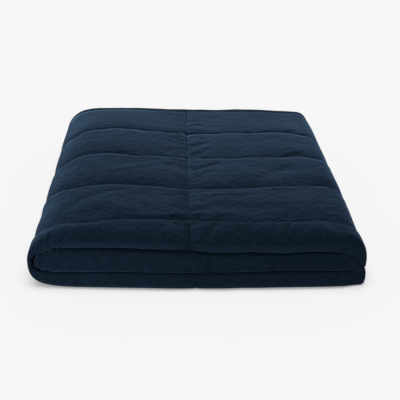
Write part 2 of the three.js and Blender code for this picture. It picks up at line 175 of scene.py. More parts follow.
def wrap_leg(t):
    above = t <= 0.5
    if above:
        outside_rise = flow(top_height, wrap_x) - wrap_middle
        inside_rise = flow(upper_gap, wrap_x) - wrap_middle
        outside_square, inside_square = wrap_upper_square, tuck_upper_square
    else:
        outside_rise = wrap_middle
        inside_rise = wrap_middle - flow(lower_gap, wrap_x)
        outside_square, inside_square = wrap_lower_square, tuck_lower_square
    angle, inside_reach = t * math.pi, wrap_reach - wrap_thickness
    inside_rise += panel_gap / 2
    outside = arch(wrap_x, wrap_middle, wrap_reach, outside_rise, outside_square, angle, -1)
    inside = arch(wrap_x, wrap_middle, inside_reach, inside_rise, inside_square, angle, -1)
    if above:
        inside.y = wrap_middle + (inside.y - wrap_middle) * sag((wrap_x - inside.x) / inside_reach)
    return outside, inside


def bottom_leg(t):
    x = wrap_x + (turn_x - wrap_x) * t
    return Vector((x, 0)), Vector((x, flow(lower_gap, x) - panel_gap / 2))


def turn_leg(t):
    slit = arch(turn_x, flow(lower_gap, turn_x), turn_slit, panel_gap / 2, 2, (1 - t) * math.pi, 1)
    return turn_outside(turn_steps * t), slit


def middle_leg(t):
    x = turn_x + (wrap_x - tuck_reach * tuck_end - turn_x) * t
    upper, lower = flow(upper_gap, x) - panel_gap / 2, flow(lower_gap, x) + panel_gap / 2
    if x < wrap_x:
        past = (wrap_x - x) / tuck_reach
        upper_kept = (1 - past**tuck_upper_square) ** (1 / tuck_upper_square) * sag(past)
        lower_kept = (1 - past**tuck_lower_square) ** (1 / tuck_lower_square)
        upper = wrap_middle + (upper - tuck_clear - wrap_middle) * upper_kept
        lower = wrap_middle + (lower + tuck_clear - wrap_middle) * lower_kept
    return Vector((x, upper)), Vector((x, lower))


legs = {
    "droop": droop_leg, "top": top_leg, "wrap": wrap_leg,
    "bottom": bottom_leg, "turn": turn_leg, "middle": middle_leg,
}

# Each leg is measured along its middle: where it starts on the strip, and how far along it each step is.
measuring_steps = 240
leg_start, leg_walk = {}, {}
strip_length = 0.0
for name, leg in legs.items():
    walk, last = [0.0], None
    for step in range(measuring_steps + 1):
        halfway = sum(leg(step / measuring_steps), Vector((0, 0))) / 2
        if last is not None:
            walk.append(walk[-1] + (halfway - last).length)
        last = halfway
    leg_start[name], leg_walk[name] = strip_length, walk
    strip_length += walk[-1]

# The strip stands for the whole length of the cloth. The first cross seam crosses the top panel.
flat_share = cloth_length / strip_length
top_seam = cross_seams[0] / flat_share
top_seam_x = turn_x - (top_seam - leg_start["top"])

# The front nose and the back hem along the strip: leg, share of it, how far the nose and the hem stand in,
# how far back the nose's rounding runs on the outside and on the inside, the height of its foremost place
# as a share of the half thickness, and how square the rounding is.
edge_rows = (
    ("droop", 0, 0.017, 0.012, 0.008, 0.0008, 0.00, 2.4),
    ("droop", 0.7, 0.016, 0.010, 0.014, 0.0012, 0.05, 2.2),
    ("top", 0.06, 0.017, 0.006, 0.044, 0.006, 0.04, 1.8),
    ("top", 0.3, 0.016, 0.003, 0.060, 0.008, 0.08, 1.5),
    ("top", 0.8, 0.016, 0.000, 0.058, 0.012, 0.14, 1.55),
    ("wrap", 0.12, 0.015, 0.000, 0.040, 0.010, 0.10, 1.8),
    ("wrap", 0.5, 0.0175, 0.009, 0.007, 0.004, 0.00, 2.4),
    ("wrap", 0.8, 0.0125, 0.006, 0.014, 0.005, 0.00, 2.4),
    ("bottom", 0.15, 0.0065, 0.001, 0.020, 0.006, 0.00, 2.5),
    ("bottom", 0.45, 0.0035, 0.001, 0.020, 0.006, 0.00, 2.5),
    ("bottom", 0.75, 0.007, 0.002, 0.020, 0.006, 0.00, 2.5),
    ("bottom", 1, 0.012, 0.006, 0.018, 0.006, 0.00, 2.5),
    ("turn", 0.3, 0.020, 0.012, 0.012, 0.005, 0.00, 2.6),
    ("turn", 0.8, 0.017, 0.012, 0.002, 0.005, 0.00, 2.8),
    ("middle", 0.1, 0.014, 0.006, 0.006, 0.007, 0.00, 2.8),
    ("middle", 0.5, 0.011, 0.003, 0.007, 0.007, 0.00, 2.8),
    ("middle", 0.9, 0.011, 0.005, 0.007, 0.007, 0.00, 2.8),
    ("middle", 1, 0.012, 0.012, 0.008, 0.006, 0.00, 2.6),
)
edge_places = [leg_start[row[0]] + row[1] * leg_walk[row[0]][-1] for row in edge_rows]
edges = [
    [(place, row[column]) for place, row in zip(edge_places, edge_rows)] for column in range(2, 8)
]
inner_layer_short, nose_round = 0.006, 0.008
take_up = 2 * half_depth / (nose_at + nose_round)
back_waver, least_end, nose_filled = 0.002, 0.3, 0.85


def station(along):
    """All that is the same along one ring of the strip, at a distance from the end of the top panel."""
    name = next(leg for leg in reversed(legs) if along >= leg_start[leg] or leg == "droop")
    walk = leg_walk[name]
    inside_leg = clamp(along - leg_start[name], 0, walk[-1])
    i = clamp(bisect.bisect_left(walk, inside_leg), 1, measuring_steps)
    t = (i - 1 + (inside_leg - walk[i - 1]) / (walk[i] - walk[i - 1])) / measuring_steps
    outside, inside = legs[name](t)
    nose, hem, over, under, tip, power = (flow(rows, along) for rows in edges)
    half = (outside - inside).length / 2
    ends = rounded(min(along, strip_length - along) / hem_radius)
    return {
        "leg": name, "outside": outside, "inside": inside, "half": half, "gap": layer_gap / 2 / half,
        "flat": along * flat_share, "unrolled": turn_x - (along - leg_start["top"]),
        "front": nose - half_depth,
        "back": half_depth - hem + back_waver * noise.noise((along * 9, 4.7, 0)),
        "over": over, "under": under, "tip": tip, "power": power, "ends": max(least_end, ends),
    }


def outside_face(ring, across):
    """The outside of the section: y, height as a share of the half thickness, and the way it faces."""
    upper = across <= nose_at
    from_tip = abs(nose_at - across) * take_up
    reach = ring["over"] if upper else ring["under"]
    rise = 1 - ring["tip"] if upper else -1 - ring["tip"]
    deep = abs(rise) * ring["half"]
    curve = math.pi / 4 * (3 * (reach + deep) - math.sqrt((3 * reach + deep) * (reach + 3 * deep)))
    start = ring["front"] + reach
    if from_tip >= curve:
        back = ring["back"] - (0 if upper else inner_layer_short)
        share = (from_tip - curve) / (nose_at * take_up - curve)
        flat_side = 1 if upper else -1
        return start + (back - start) * share, flat_side, 0.0, flat_side
    angle = from_tip / curve * math.pi / 2
    power = ring["power"]
    cosine, sine = max(0.0, math.cos(angle)), math.sin(angle)
    steep = 2 - 2 / power
    facing = Vector((cosine**steep / reach, sine**steep / (rise * ring["half"]))).normalized()
    y = start - reach * cosine ** (2 / power)
    return y, ring["tip"] + rise * sine ** (2 / power), facing.x, facing.y


def inside_face(ring, across, y):
    """The inside of the section, along the slit between the layers, which ends inside the nose."""
    slit_end = ring["front"] + ring["half"] * nose_filled
    if abs(across - nose_at) < 1e-6:
        return slit_end - layer_gap / 2, 0.0
    return max(y, slit_end), math.copysign(ring["gap"], nose_at - across)


# Soft swells of the top panel: x, y, reach in x, reach in y, rise
swells = (
    (-0.207, 0.187, 0.113, 0.255, 0.0080),
    (0.150, -0.034, 0.133, 0.170, 0.0040),
    (0.117, 0.306, 0.267, 0.136, 0.0030),
    (-0.033, 0.360, 0.467, 0.085, -0.0012),
    (-0.210, 0.360, 0.090, 0.085, -0.0070),
    (-0.305, 0.330, 0.030, 0.045, 0.0040),
)

# Where the sides of the stack are pulled to the right: end (0 is the left one), y, reach in y, distance
pulls = (
    (0, 0.060, 0.190, 0.0030), (0, -0.178, 0.035, 0.0030),
    (1, 0.310, 0.050, -0.0040), (1, -0.090, 0.060, 0.0018), (1, -0.240, 0.050, -0.0012),
)

# How far the channel lines on the top panel stray towards the front: the place from left to right, then the
# first line to the fourth, counted from the back
line_strays = (
    (-0.400, 0.025, 0.026, 0.015, 0.017),
    (-0.300, 0.041, 0.036, 0.023, 0.019),
    (-0.265, 0.030, 0.020, 0.023, 0.019),
    (-0.235, 0.025, 0.011, 0.017, 0.022),
    (-0.200, 0.018, 0.007, 0.009, 0.015),
    (-0.160, 0.016, 0.007, 0.007, 0.004),
    (-0.130, 0.018, 0.013, 0.008, 0.003),
    (-0.080, 0.021, 0.007, 0.008, 0.000),
    (-0.040, 0.020, 0.012, 0.017, -0.002),
    (0.000, 0.020, 0.014, 0.018, 0.000),
    (0.050, 0.021, 0.016, 0.021, 0.005),
    (0.100, 0.018, 0.017, 0.017, 0.009),
    (0.150, 0.017, 0.012, 0.013, 0.005),
    (0.200, 0.009, 0.009, 0.010, 0.006),
    (0.225, 0.007, 0.000, 0.003, 0.002),
    (0.250, 0.007, -0.004, 0.001, -0.001),
    (0.285, 0.017, 0.007, -0.004, 0.006),
    (0.310, 0.033, 0.012, 0.015, 0.010),
    (0.340, 0.032, 0.015, 0.028, 0.025),
)
strays_of_line = {line: [(row[0], row[line]) for row in line_strays] for line in range(1, 5)}
stray_reach, nose_stray_reach, stray_waver = 0.074, 0.060, 0.0012

# The main creases, laid out on the top panel and its nose. Each runs from one place to another, given as
# x and the distance back from the tip of the nose, with a width and a depth; a ridge has a negative depth.
# All are bowed by the same share of their length.
creases = (
    (-0.047, 0.583, -0.012, 0.510, 0.006, 0.0014), (0.038, 0.526, 0.138, 0.510, 0.012, -0.0016),
    (-0.004, 0.583, 0.074, 0.577, 0.005, 0.0008), (-0.004, 0.561, 0.113, 0.549, 0.005, 0.0009),
    (-0.004, 0.542, 0.046, 0.530, 0.005, 0.0008), (-0.006, 0.513, 0.130, 0.508, 0.006, 0.0008),
    (0.003, 0.466, 0.040, 0.478, 0.005, 0.0012), (0.002, 0.424, 0.055, 0.449, 0.006, 0.0016),
    (0.002, 0.389, 0.042, 0.416, 0.006, 0.0016), (-0.016, 0.447, -0.070, 0.478, 0.006, 0.0014),
    (-0.015, 0.395, -0.075, 0.408, 0.006, 0.0012), (0.217, 0.361, 0.262, 0.395, 0.014, 0.0010),
    (-0.052, 0.339, -0.204, 0.272, 0.010, -0.0014), (-0.072, 0.320, -0.016, 0.292, 0.007, 0.0015),
    (-0.002, 0.292, 0.064, 0.335, 0.007, 0.0017), (0.000, 0.262, 0.049, 0.288, 0.006, 0.0012),
    (-0.014, 0.243, -0.060, 0.278, 0.006, 0.0011), (0.225, 0.308, 0.130, 0.240, 0.018, 0.0030),
    (0.163, 0.214, 0.268, 0.223, 0.010, -0.0016), (-0.138, 0.200, -0.264, 0.117, 0.011, 0.0020),
    (-0.074, 0.140, -0.014, 0.108, 0.007, 0.0010), (-0.002, 0.113, 0.070, 0.140, 0.008, 0.0012),
    (-0.004, 0.099, 0.085, 0.106, 0.008, -0.0012), (-0.018, 0.097, -0.105, 0.089, 0.008, -0.0012),
    (-0.273, 0.093, -0.175, 0.117, 0.012, 0.0014), (0.010, 0.172, 0.105, 0.186, 0.009, -0.0016),
    (0.060, 0.128, 0.150, 0.122, 0.014, 0.0012), (-0.110, 0.118, -0.060, 0.110, 0.012, 0.0008),
    (-0.040, 0.092, -0.060, 0.046, 0.007, 0.0024), (-0.026, 0.076, -0.040, 0.040, 0.006, 0.0018),
    (0.036, 0.056, 0.018, 0.014, 0.006, 0.0024), (0.160, 0.070, 0.146, 0.020, 0.007, 0.0026),
    (0.182, 0.056, 0.165, 0.022, 0.006, 0.0020), (0.256, 0.068, 0.285, 0.024, 0.008, 0.0020),
    (0.217, 0.060, 0.208, 0.032, 0.006, 0.0016), (0.082, 0.050, 0.073, 0.018, 0.006, 0.0016),
    (-0.140, 0.026, -0.133, -0.006, 0.007, 0.0020), (-0.285, 0.022, -0.285, -0.018, 0.005, 0.0030),
    (-0.254, 0.026, -0.252, -0.014, 0.006, 0.0028), (-0.300, 0.016, -0.303, -0.016, 0.005, 0.0026),
)
crease_bow = 0.035

# Places where the cross seam is drawn down hardest and the cloth gathers round it: x, distance back, depth
pinches = ((-0.008, 0.492, 0.0014), (-0.006, 0.292, 0.0016), (-0.006, 0.110, 0.0014))
pinch_reach, pinch_end, spoke_depth = 0.022, 0.14, 0.0013

# Dents in the noses of the two lower panels: leg, x, width, depth
nose_dents = (
    ("middle", -0.127, 0.004, 0.0036), ("middle", -0.240, 0.009, 0.0022), ("middle", 0.150, 0.014, 0.0020),
    ("bottom", -0.262, 0.006, 0.0028), ("bottom", -0.245, 0.005, 0.0024), ("bottom", 0.090, 0.012, 0.0018),
)


def crease_depth(x, back):
    """How deep the creases and pinches are at a place on the top panel or its nose."""
    depth = 0.0
    for start_x, start_back, end_x, end_back, width, deep in creases:
        run_x, run_back = end_x - start_x, end_back - start_back
        length = math.hypot(run_x, run_back)
        t = ((x - start_x) * run_x + (back - start_back) * run_back) / length**2
        if -0.25 < t < 1.25:
            bow_side = math.copysign(1, deep + run_x * 0.01)
            bowed = crease_bow * length * math.sin(math.pi * clamp(t)) * bow_side
            off = ((x - start_x) * run_back - (back - start_back) * run_x) / length - bowed
            if abs(off) < 3 * width:
                fade = smooth((t + 0.2) / 0.35) * smooth((1.25 - t) / 0.6)
                depth += deep * fade * bump(off, width)
    for pinch_x, pinch_back, deep in pinches:
        far = math.hypot(x - pinch_x, back - pinch_back)
        if far < pinch_end:
            angle = math.atan2(back - pinch_back, x - pinch_x)
            spoke = noise.noise((angle * 3.2, pinch_back * 50, far * 9))
            depth += deep * bump(far, pinch_reach)
            depth += spoke_depth * spoke * math.exp(-far / 0.045) * far / (far + 0.012)
    return depth


def line_shift(unrolled, across):
    """How far the cloth beside a channel line on the top panel is drawn towards the front."""
    line = round(across / channel)
    if line not in strays_of_line:
        return 0.0
    reach = nose_stray_reach if across > 4 * channel else stray_reach
    waver = stray_waver * noise.noise((unrolled * 11, line * 4.1, 1.3))
    stray = flow(strays_of_line[line], unrolled) + waver
    return stray * smooth(1 - abs(across - line * channel) / reach)


# How deep a channel line is drawn in, and how far behind it the puff starts to fall; how far in front of it
# the puff is full again; the depth and width of the stitched grooves; how deep a cross seam is drawn in,
# and how far from it that starts; and how high the puckers are
line_shapes = {1: (0.0038, 0.027), 2: (0.0085, 0.060), 3: (0.0088, 0.062), 4: (0.0095, 0.080)}
other_line = (0.0085, 0.074)
line_rise = 0.015
line_groove, hem_groove, seam_groove = (0.0010, 0.0034), (0.0016, 0.0030), (0.0026, 0.0028)
seam_depth, seam_reach = 0.0036, 0.055
line_pucker, seam_pucker = 0.0012, 0.0030


def quilting(flat, across):
    """How far the cloth is drawn in by its channel lines and cross seams, with the puckers beside them."""
    line = round(across / channel)
    deep, fall = line_shapes.get(line, other_line)
    deep *= 1 + 0.22 * noise.noise((flat * 5, line * 3.7, 8.1))
    from_line = abs(across - line * channel) if 0 < line < 9 else channel / 2
    in_front = across > line * channel
    drawn_line = 0.0
    if 0 < line < 9:
        lower = 1 - rounded(from_line / line_rise) if in_front else clamp(1 - from_line / fall) ** 2
        drawn_line = deep * lower + line_groove[0] * bump(from_line, line_groove[1])
    from_hem = min(across, cloth_width - across)
    drawn_line += hem_groove[0] * bump(from_hem - hem_row, hem_groove[1])

    seam = min(cross_seams, key=lambda place: abs(flat - place))
    from_seam = abs(flat - seam)
    uneven = 0.9 * noise.noise((across / 0.011, seam * 3.3, 4.4)) * smooth((0.50 - across) / 0.10)
    drawn_seam = seam_depth * (1 - rounded(from_seam / seam_reach))
    drawn_seam += seam_groove[0] * (1 + uneven) * bump(from_seam, seam_groove[1])
    drawn_seam *= smooth(from_hem / 0.045)

    beside_line = math.exp(-from_line / 0.020) * from_line / (from_line + 0.004)
    beside_seam = math.exp(-from_seam / 0.036) * from_seam / (from_seam + 0.003)
    line_layer = line * 7.3 + (3.1 if in_front else 9.4)
    seam_layer = seam * 5.7 + (2.3 if flat > seam else 6.8)
    slanted = across + 0.45 * smooth((across - 0.06) / 0.12) * from_seam
    pucker = line_pucker * beside_line * noise.noise((flat / 0.017, line_layer, from_line / 0.05))
    pucker += seam_pucker * beside_seam * noise.noise((slanted / 0.0105, seam_layer, from_seam / 0.07))
    return math.hypot(drawn_line, drawn_seam) - pucker, drawn_seam


ruffle_height, ruffle_pitch = 0.0042, 0.0050 * math.pi


def ruffles(ring, across):
    """The small gathers of the lower lips at the left, where the cloth bends on the inside of the wrap."""
    if ring["leg"] in ("top", "wrap"):
        place, low, high = ring["unrolled"], -0.366, -0.240
    else:
        place, low, high = ring["outside"].x, -0.330, -0.270
    shown = smooth((place - low) / 0.012) * smooth((high - place) / 0.035)
    at_the_lip = smooth((across - nose_at + 0.004) / 0.008) * smooth((nose_at + 0.05 - across) / 0.02)
    if shown * at_the_lip == 0 or ring["leg"] not in ("top", "wrap", "middle"):
        return 0.0
    uneven = 2.4 * noise.noise((place * 40, 2.2, 6.1))
    wave = 0.5 + 0.5 * math.sin(2 * math.pi * place / ruffle_pitch + uneven)
    return ruffle_height * shown * at_the_lip * wave


def lumps(flat, across):
    """The uneven filling: soft rises and hollows along the channels."""
    rise = 0.0020 * noise.noise((flat * 8, across * 13, 3.9))
    rise += 0.0010 * noise.noise((flat * 19, across * 27, 5.2))
    return rise + 0.0005 * noise.noise((flat * 42, across * 60, 7.7))


# How far from its tip a nose is dented, and how far from it the dents go straight back; then how far the
# cross seam of the top panel bends to the right towards the back, and how much cloth bends with it
nose_reach, tip_reach = 0.030, 0.025
seam_bend, seam_bend_reach = 0.007, 0.080

# How much flatter the quilting is on the droop, round the wrap and on the turn; then the least dent of the
# lower noses, how much of the lumps they show, and the deepest dent as a share of the half thickness
droop_flatter, wrap_flatter, turn_flatter = 0.65, 0.45, 0.2
least_dent, lumps_shown, deepest = 0.0012, 0.6, 0.5


def cloth_point(ring, across, side):
    """A point of the cloth's outside (side 1) or inside (side -1), at a place across the flat cloth."""
    leg, half = ring["leg"], ring["half"]
    hem_distance = min(across, cloth_width - across) * take_up
    full = rounded(hem_distance / hem_radius) * ring["ends"]
    from_tip = abs(nose_at - across) * take_up
    on_top_layer = across <= nose_at
    out_y, out_height, forwards, upwards = outside_face(ring, across)
    in_y, in_height = inside_face(ring, across, out_y)
    layer_y, layer_height = (out_y + in_y) / 2, (out_height + in_height) / 2
    y = layer_y + side * (out_y - layer_y) * full
    height = layer_height + side * (out_height - layer_height) * full

    if side > 0:
        drawn, drawn_seam = quilting(ring["flat"], across)
        near_nose = smooth(1 - abs(nose_at - across) / nose_reach)
        inward = 0.0
        if on_top_layer and leg in ("droop", "top", "wrap"):
            inward = drawn - lumps(ring["flat"], across) + crease_depth(ring["unrolled"], from_tip)
            inward *= 1 - droop_flatter * smooth((ring["unrolled"] - turn_x) / 0.045)
            inward *= 1 - wrap_flatter * smooth((wrap_x - 0.050 - ring["unrolled"]) / 0.050)
        elif on_top_layer and leg == "turn":
            inward = max(0.0, drawn * (1 - turn_flatter) - lumps(ring["flat"], across))
        elif leg in ("top", "droop", "wrap"):
            inward = drawn_seam - lumps(ring["flat"], across) + crease_depth(ring["unrolled"], -from_tip)
            inward *= near_nose
        if leg in ("bottom", "middle", "turn"):
            dent = drawn_seam + least_dent + lumps_shown * abs(lumps(ring["flat"], across))
            for dent_leg, x, width, deep in nose_dents:
                if dent_leg == leg:
                    dent += deep * bump(ring["outside"].x - x, width)
            inward = max(inward, dent * near_nose)
        inward = min(inward, half * deepest) * full
        near_tip = smooth(1 - abs(nose_at - across) / tip_reach)
        y += inward * (forwards + (1 - forwards) * near_tip)
        height += (ruffles(ring, across) - inward * upwards * (1 - near_tip)) / half
        if on_top_layer and leg in ("droop", "top", "wrap"):
            y -= line_shift(ring["unrolled"], across)

    x, z = ring["inside"].lerp(ring["outside"], (height + 1) / 2)
    if leg in ("top", "droop", "wrap") and height > 0 and ring["outside"].y > wrap_middle:
        rise = sum(
            up * bump(x - swell_x, reach_x) * bump(y - swell_y, reach_y)
            for swell_x, swell_y, reach_x, reach_y, up in swells
        )
        above, top_above = ring["outside"].y - wrap_middle, flow(top_height, x) - wrap_middle
        share = 1 if leg == "top" else above / top_above
        z += rise * smooth(share) * smooth(height)
    at_side = smooth((wrap_x - x) / wrap_reach), smooth((x - turn_x) / turn_reach)
    x += sum(move * at_side[end] * bump(y - middle, reach) for end, middle, reach, move in pulls)
    if on_top_layer and leg == "top":
        bent = bump(ring["unrolled"] - top_seam_x, seam_bend_reach)
        x += seam_bend * smooth((y + 0.15) / 0.45) * bent
    return Vector((x + side_lean * y, y, max(0.0, z)))


# The painted highlight in front of each line, counted from the back: how far in front it is, and how light it
# is painted; in front of the fourth line it is painted shade
painted_crest_light_and_shade = {1: (0.010, 1.40), 2: (0.011, 0.90), 3: (0.011, 0.50), 4: (0.011, -0.30)}
painted_crest_reach = 0.006

# Patches of painted light and shade on the top panel: x, distance back, reach in x, reach back, tone
painted_light_patches = (
    (0.275, 0.560, 0.055, 0.045, 0.38), (0.045, 0.565, 0.040, 0.025, 0.20),
    (0.275, 0.400, 0.040, 0.035, 0.32), (0.028, 0.435, 0.018, 0.022, 0.28),
    (0.020, 0.325, 0.016, 0.020, 0.28), (0.018, 0.110, 0.020, 0.026, 0.38),
    (-0.150, 0.345, 0.070, 0.025, -0.25), (-0.120, 0.185, 0.060, 0.026, -0.22),
    (-0.028, 0.155, 0.020, 0.026, -0.20), (-0.255, 0.040, 0.035, 0.050, 0.22),
)

# Tones of the darker hem band and the painted highlight in front of it; painted shade on the lower panels,
# darker towards the right, and a painted highlight on their lips; painted shade at the sides and painted
# light at the front left corner; painted light right of the cross seam and painted shade left of it, with
# painted highlights on the gathers that cross it
hem_tone, hem_highlight, hem_highlight_at_left = -0.55, 0.40, 1.60
lower_painted_shade, lower_right_painted_shade, lip_highlight = -0.08, -0.25, 0.60
lip_below_tip, lip_reach = 0.017, 0.004
side_painted_shade, corner_painted_light = -0.32, 0.50
right_of_seam_painted_light, left_of_seam_painted_shade, gather_highlight_amount = 0.03, -0.22, 1.1


def pile_and_painted_light_tone(ring, across):
    """The sheen added or taken away at each place, above 0 lighter and below 0 darker: random unevenness and
    a darker hem band, with painted highlights and painted shade.
    """
    from_hem = min(across, cloth_width - across)
    if from_hem < hem_row:
        return hem_tone * smooth((hem_row - from_hem) / 0.003)
    # The lower panels get painted shade, more towards the right, and a painted highlight along their lips.
    if ring["leg"] in ("middle", "turn", "bottom"):
        to_right = smooth((ring["outside"].x + 0.05) / 0.25)
        at_lip = bump(across - nose_at - lip_below_tip, lip_reach)
        return lip_highlight * at_lip + lower_painted_shade + lower_right_painted_shade * to_right

    x, back = ring["unrolled"], (nose_at - across) * take_up
    uneven = 0.75 + 0.5 * noise.noise((ring["flat"] * 30, across * 4, 2.6))
    uneven *= smooth((x + 0.42) / 0.10) * smooth((0.38 - x) / 0.06)
    # A painted highlight in front of the hem, strongest at the left, and one in front of each channel line;
    # before the fourth line it is painted shade, with painted light at the left corner.
    at_hem = hem_highlight + hem_highlight_at_left * smooth((-0.05 - x) / 0.15)
    tone = at_hem * uneven * bump(from_hem - hem_row - 0.008, 0.005)
    line = int(across / channel)
    if line in painted_crest_light_and_shade:
        in_front, light = painted_crest_light_and_shade[line]
        light += corner_painted_light * smooth((-0.17 - x) / 0.06) if line == 4 else 0
        tone += light * uneven * bump(across - line * channel - in_front, painted_crest_reach)
    # Patches of painted light and shade.
    for patch_x, patch_back, reach_x, reach_back, light in painted_light_patches:
        tone += light * bump(x - patch_x, reach_x) * bump(back - patch_back, reach_back)
    # Painted shade at the left and right sides.
    tone += side_painted_shade * (smooth((-0.295 - x) / 0.05) + smooth((x - 0.320) / 0.03))

    # Painted highlights on the gathers across the seam, painted shade left of it and a little painted light
    # right of it.
    past_seam = ring["flat"] - cross_seams[0]
    at_right = past_seam < 0
    gather_highlights = max(0.0, noise.noise((across / 0.008, past_seam / 0.030, 5.5 if at_right else 1.1)))
    tone += gather_highlight_amount * gather_highlights * smooth((0.50 - across) / 0.10) * bump(past_seam, 0.015)
    return tone + (right_of_seam_painted_light if at_right else left_of_seam_painted_shade) * bump(past_seam, 0.025)


def spread(low, high, step):
    """Even places from low up to high, about a step apart, without high itself."""
    count = max(1, round((high - low) / step))
    return [low + (high - low) * i / count for i in range(count)]


# Places across the flat cloth: close together along hems, lines and nose, wide apart where nothing shows.
hem_steps = [0.0, 0.0005, 0.0012, 0.0025, 0.0045, 0.0070, 0.0100]
beside_a_line = [0.0, 0.0015, 0.0040, 0.0075]
clear_of_line, usual_step, before_nose, past_nose = 0.0115, 0.0040, nose_at - 0.026, nose_at + 0.030
outside_places = list(hem_steps) + spread(0.0135, channel - clear_of_line, usual_step)
for line in range(1, 5):
    middle = line * channel
    outside_places += [middle - step for step in reversed(beside_a_line[1:])]
    outside_places += [middle + step for step in beside_a_line]
    beyond = middle + channel - clear_of_line if line < 4 else before_nose
    outside_places += spread(middle + clear_of_line, beyond, usual_step)
outside_places += spread(before_nose, past_nose, 0.0026)
outside_places += spread(past_nose, cloth_width - 0.014, 0.070)
outside_places += [cloth_width - step for step in [0.014] + hem_steps[:0:-1]]
outside_places.append(cloth_width)
inside_places = [0.0015, 0.004, 0.008, 0.013] + spread(0.02, nose_at - 0.03, 0.10) + [before_nose]
inside_places = [cloth_width - place for place in inside_places] + [nose_at] + inside_places[::-1]
inside_places = sorted(inside_places, reverse=True)
round_the_section = [(place, 1) for place in outside_places] + [(place, -1) for place in inside_places]
round_the_section.append((0.0, 1))

# Distances along the strip: close together where the cloth shows, and closest at the ruffles and the seams
leg_steps = {
    "droop": 0.0036, "top": 0.0036, "wrap": 0.0038,
    "bottom": 0.012, "turn": 0.005, "middle": 0.012,
}
along_strip = set(hem_steps[1:]) | {strip_length - step for step in hem_steps[1:]} | {0.0, strip_length}
for name, step in leg_steps.items():
    along_strip |= set(spread(leg_start[name], leg_start[name] + leg_walk[name][-1], step))
top_middle = leg_start["top"] + turn_x
along_strip |= set(spread(top_middle + 0.250, top_middle + 0.365, 0.0022))
along_strip |= set(spread(strip_length - 0.065, strip_length - 0.012, 0.0028))
for seam in cross_seams:
    along_strip |= {seam / flat_share + step for step in (-0.004, -0.0015, 0.0, 0.0015, 0.004)}
least_step = 0.0008
ordered = sorted(along_strip)
kept = [ordered[0]]
for place in ordered[1:]:
    is_seam = any(abs(place * flat_share - seam) < 1e-6 for seam in cross_seams)
    if place - kept[-1] > least_step or place == strip_length or is_seam:
        kept.append(place)
along_strip = kept

# A grid of as many squares is folded into the strip, closed along its hem and at its two ends.
quilt_mesh = bmesh.new()
bmesh.ops.create_grid(
    quilt_mesh, x_segments=len(along_strip) - 1, y_segments=len(round_the_section) - 1, size=0.5
)
flat_map = quilt_mesh.loops.layers.uv.new("cloth")
pile_and_painted_light_layer = quilt_mesh.verts.layers.float.new("pile")
quilt_mesh.verts.ensure_lookup_table()
rings = [station(along) for along in along_strip]
flat_place = {}
for vert in quilt_mesh.verts:
    i = round((vert.co.x + 0.5) * (len(along_strip) - 1))
    j = round((vert.co.y + 0.5) * (len(round_the_section) - 1))
    across, side = round_the_section[j]
    flat_place[vert.index] = (rings[i]["flat"] / cloth_length, across / cloth_width)
    # Each point stores its tone, with its painted light and shade.
    vert[pile_and_painted_light_layer] = pile_and_painted_light_tone(rings[i], across)
    vert.co = cloth_point(rings[i], across, side)
for face in quilt_mesh.faces:
    for loop in face.loops:
        loop[flat_map].uv = flat_place[loop.vert.index]
bmesh.ops.remove_doubles(quilt_mesh, verts=quilt_mesh.verts, dist=1e-6)
open_edges = [edge for edge in quilt_mesh.edges if edge.is_boundary]
ends = bmesh.ops.holes_fill(quilt_mesh, edges=open_edges, sides=0)["faces"]
bmesh.ops.triangulate(quilt_mesh, faces=ends)
bmesh.ops.recalc_face_normals(quilt_mesh, faces=quilt_mesh.faces)

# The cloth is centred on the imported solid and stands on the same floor.
xs, ys = [vert.co.x for vert in quilt_mesh.verts], [vert.co.y for vert in quilt_mesh.verts]
middle_x, middle_y = (min(xs) + max(xs)) / 2, (min(ys) + max(ys)) / 2
centre = (solid_low + solid_high) / 2
to_frame = Matrix.Translation((centre.x - middle_x, centre.y - middle_y, solid_low.z))
bmesh.ops.transform(quilt_mesh, matrix=to_frame, verts=quilt_mesh.verts)
for face in quilt_mesh.faces:
    face.smooth = True
mesh = bpy.data.meshes.new("quilted_cloth")
quilt_mesh.to_mesh(mesh)
quilt_mesh.free()
quilt = bpy.data.objects.new("quilted_cloth", mesh)
bpy.context.collection.objects.link(quilt)

# Navy cotton velvet: a dark ground with a short upright pile that lightens at its edges, brushed unevenly.
velvet = bpy.data.materials.new("navy_velvet")
velvet.use_nodes = True
nodes, links = velvet.node_tree.nodes, velvet.node_tree.links
shader = nodes["Principled BSDF"]
shader.inputs["Roughness"].default_value = 0.9
shader.inputs["Specular IOR Level"].default_value = 0.01
shader.inputs["Sheen Roughness"].default_value = 0.48
shader.inputs["Sheen Tint"].default_value = (0.23, 0.45, 0.785, 1)
place = nodes.new("ShaderNodeTexCoord")
blotches = nodes.new("ShaderNodeTexNoise")
blotches.inputs["Scale"].default_value = 95
blotches.inputs["Detail"].default_value = 8
blotches.inputs["Roughness"].default_value = 0.74
links.new(place.outputs["Object"], blotches.inputs["Vector"])
nap = nodes.new("ShaderNodeValToRGB")
nap.color_ramp.elements[0].position = 0.36
nap.color_ramp.elements[0].color = (0.0037, 0.0082, 0.0155, 1)
nap.color_ramp.elements[1].position = 0.66
nap.color_ramp.elements[1].color = (0.0065, 0.0141, 0.0262, 1)
links.new(blotches.outputs["Fac"], nap.inputs["Fac"])
links.new(nap.outputs["Color"], shader.inputs["Base Color"])
